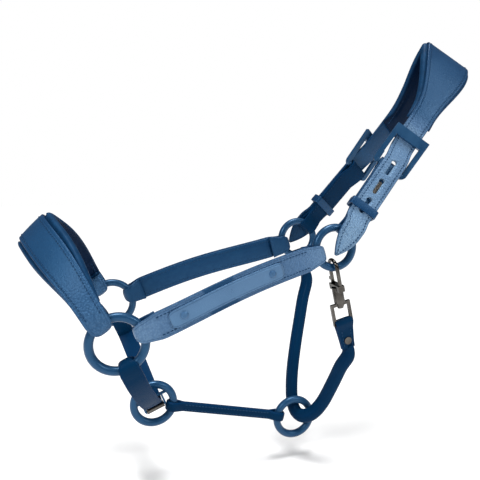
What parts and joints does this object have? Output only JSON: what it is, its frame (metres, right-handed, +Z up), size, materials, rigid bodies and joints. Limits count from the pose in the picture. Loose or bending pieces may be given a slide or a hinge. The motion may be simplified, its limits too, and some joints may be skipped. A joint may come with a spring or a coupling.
{
  "type": "horse head halter",
  "caption": "Padded leather horse halter with a buckled crown, noseband, cheeks, jaw and throat straps joined by coated rings, and a swivel snap at the throat.",
  "frame": {"origin": "middle of the crown pad's inner face, where the halter rests behind the horse's ears", "axes": "+X from the nose towards the poll, +Y to the far side, +Z up"},
  "size_m": [0.4871, 0.1637, 0.4472],
  "materials": {
    "leather": "grained, satin",
    "lining": "smooth padded, satin",
    "coated_metal": "smooth coating over steel",
    "steel": "polished nickel"
  },
  "bodies": {
    "crown": {"crown_strap": "leather", "crown_pad": "lining", "near_chape": "leather", "far_chape": "leather", "near_hook_stud": "steel", "far_hook_stud": "steel"},
    "near_buckle": {"near_buckle_frame": "coated_metal"},
    "far_buckle": {"far_buckle_frame": "coated_metal"},
    "near_keeper": {"near_keeper": "leather"},
    "far_keeper": {"far_keeper": "leather"},
    "near_upper_ring": {"near_upper_ring": "coated_metal"},
    "far_upper_ring": {"far_upper_ring": "coated_metal"},
    "near_cheek": {"near_cheek": "leather", "near_cheek_lining": "lining", "name_plate": "leather", "plate_rivets": "coated_metal"},
    "far_cheek": {"far_cheek": "leather", "far_cheek_lining": "lining"},
    "near_lower_ring": {"near_lower_ring": "coated_metal"},
    "far_lower_ring": {"far_lower_ring": "coated_metal"},
    "noseband": {"nose_strap": "leather", "nose_pad": "lining"},
    "chin_strap": {"chin_strap": "leather"},
    "chin_ring": {"chin_ring": "coated_metal"},
    "chin_roller": {"chin_roller": "steel"},
    "jaw_strap": {"jaw_strap": "leather"},
    "throat_ring": {"throat_ring": "coated_metal"},
    "throat_strap": {"throat_strap": "leather", "throat_ring_loop": "leather", "throat_snap_loop": "leather", "throat_rivet": "steel", "snap_eye": "steel"},
    "snap_hook": {"snap_hook": "steel", "snap_gate_pin": "steel"},
    "snap_gate": {"snap_gate": "steel"}
  },
  "joints": [
    {"name": "near_buckle_lift", "type": "hinge", "parent": "crown", "child": "near_buckle", "pos_m": [-0.08872, -0.0334, -0.12174], "axis": [0.7538, -0.2905, -0.5893], "range_deg": [0, 22]},
    {"name": "far_buckle_lift", "type": "hinge", "parent": "crown", "child": "far_buckle", "pos_m": [-0.08872, 0.0334, -0.12174], "axis": [-0.7538, -0.2905, 0.5893], "range_deg": [0, 22]},
    {"name": "near_keeper_slide", "type": "slide", "parent": "crown", "child": "near_keeper", "axis": [0.6387, 0.1132, 0.7611], "range_m": [-0.004, 0.01]},
    {"name": "far_keeper_slide", "type": "slide", "parent": "crown", "child": "far_keeper", "axis": [0.6387, -0.1132, 0.7611], "range_m": [-0.004, 0.01]},
    {"name": "near_upper_ring_turn", "type": "hinge", "parent": "crown", "child": "near_upper_ring", "pos_m": [-0.15775, -0.046, -0.20268], "axis": [0, 1, 0], "continuous": true},
    {"name": "far_upper_ring_turn", "type": "hinge", "parent": "crown", "child": "far_upper_ring", "pos_m": [-0.15775, 0.046, -0.20268], "axis": [0, 1, 0], "continuous": true},
    {"name": "near_cheek_swing", "type": "hinge", "parent": "crown", "child": "near_cheek", "pos_m": [-0.15775, -0.046, -0.20268], "axis": [0, 1, 0], "range_deg": [-6, 6]},
    {"name": "far_cheek_swing", "type": "hinge", "parent": "crown", "child": "far_cheek", "pos_m": [-0.15775, 0.046, -0.20268], "axis": [0, 1, 0], "range_deg": [-6, 6]},
    {"name": "near_lower_ring_turn", "type": "hinge", "parent": "near_cheek", "child": "near_lower_ring", "pos_m": [-0.37269, -0.074, -0.27252], "axis": [0, 1, 0], "continuous": true},
    {"name": "far_lower_ring_turn", "type": "hinge", "parent": "far_cheek", "child": "far_lower_ring", "pos_m": [-0.37269, 0.074, -0.27252], "axis": [0, 1, 0], "continuous": true},
    {"name": "noseband_swing", "type": "hinge", "parent": "near_cheek", "child": "noseband", "pos_m": [-0.37269, 0, -0.27252], "axis": [0, 1, 0], "range_deg": [-8, 8]},
    {"name": "chin_strap_swing", "type": "hinge", "parent": "near_cheek", "child": "chin_strap", "pos_m": [-0.37269, 0, -0.27252], "axis": [0, 1, 0], "range_deg": [-8, 8]},
    {"name": "chin_ring_swing", "type": "hinge", "parent": "chin_strap", "child": "chin_ring", "pos_m": [-0.33598, 0, -0.36339], "axis": [0, 1, 0], "range_deg": [-2, 2]},
    {"name": "chin_roller_turn", "type": "hinge", "parent": "chin_ring", "child": "chin_roller", "pos_m": [-0.33425, 0, -0.36765], "axis": [0.9272, 0, 0.3746], "continuous": true},
    {"name": "jaw_strap_swing", "type": "hinge", "parent": "chin_strap", "child": "jaw_strap", "pos_m": [-0.33598, 0, -0.36339], "axis": [0, 1, 0], "range_deg": [-10.6, 10.6]},
    {"name": "throat_ring_turn", "type": "hinge", "parent": "jaw_strap", "child": "throat_ring", "pos_m": [-0.17975, 0, -0.40068], "axis": [0, 1, 0], "continuous": true},
    {"name": "throat_strap_swing", "type": "hinge", "parent": "near_cheek", "child": "throat_strap", "pos_m": [-0.15775, 0, -0.20268], "axis": [0, 1, 0], "range_deg": [-3.4, 3.4]},
    {"name": "snap_swivel", "type": "hinge", "parent": "throat_strap", "child": "snap_hook", "pos_m": [-0.15846, -0.046, -0.22292], "axis": [0.2416, 0.0523, -0.969], "range_deg": [-8, 8]},
    {"name": "snap_gate_press", "type": "hinge", "parent": "snap_hook", "child": "snap_gate", "pos_m": [-0.15347, -0.03791, -0.24291], "axis": [0.9703, 0, 0.2419], "range_deg": [0, 24], "stiffness_Nm_per_rad": 0.02, "springref_deg": -11.46}
  ],
  "couplings": [
    {"joint": "far_cheek_swing", "follows": "near_cheek_swing", "ratio": 1},
    {"joint": "jaw_strap_swing", "follows": "chin_strap_swing", "ratio": -1.2919},
    {"joint": "throat_strap_swing", "follows": "chin_strap_swing", "ratio": 0.40393}
  ]
}
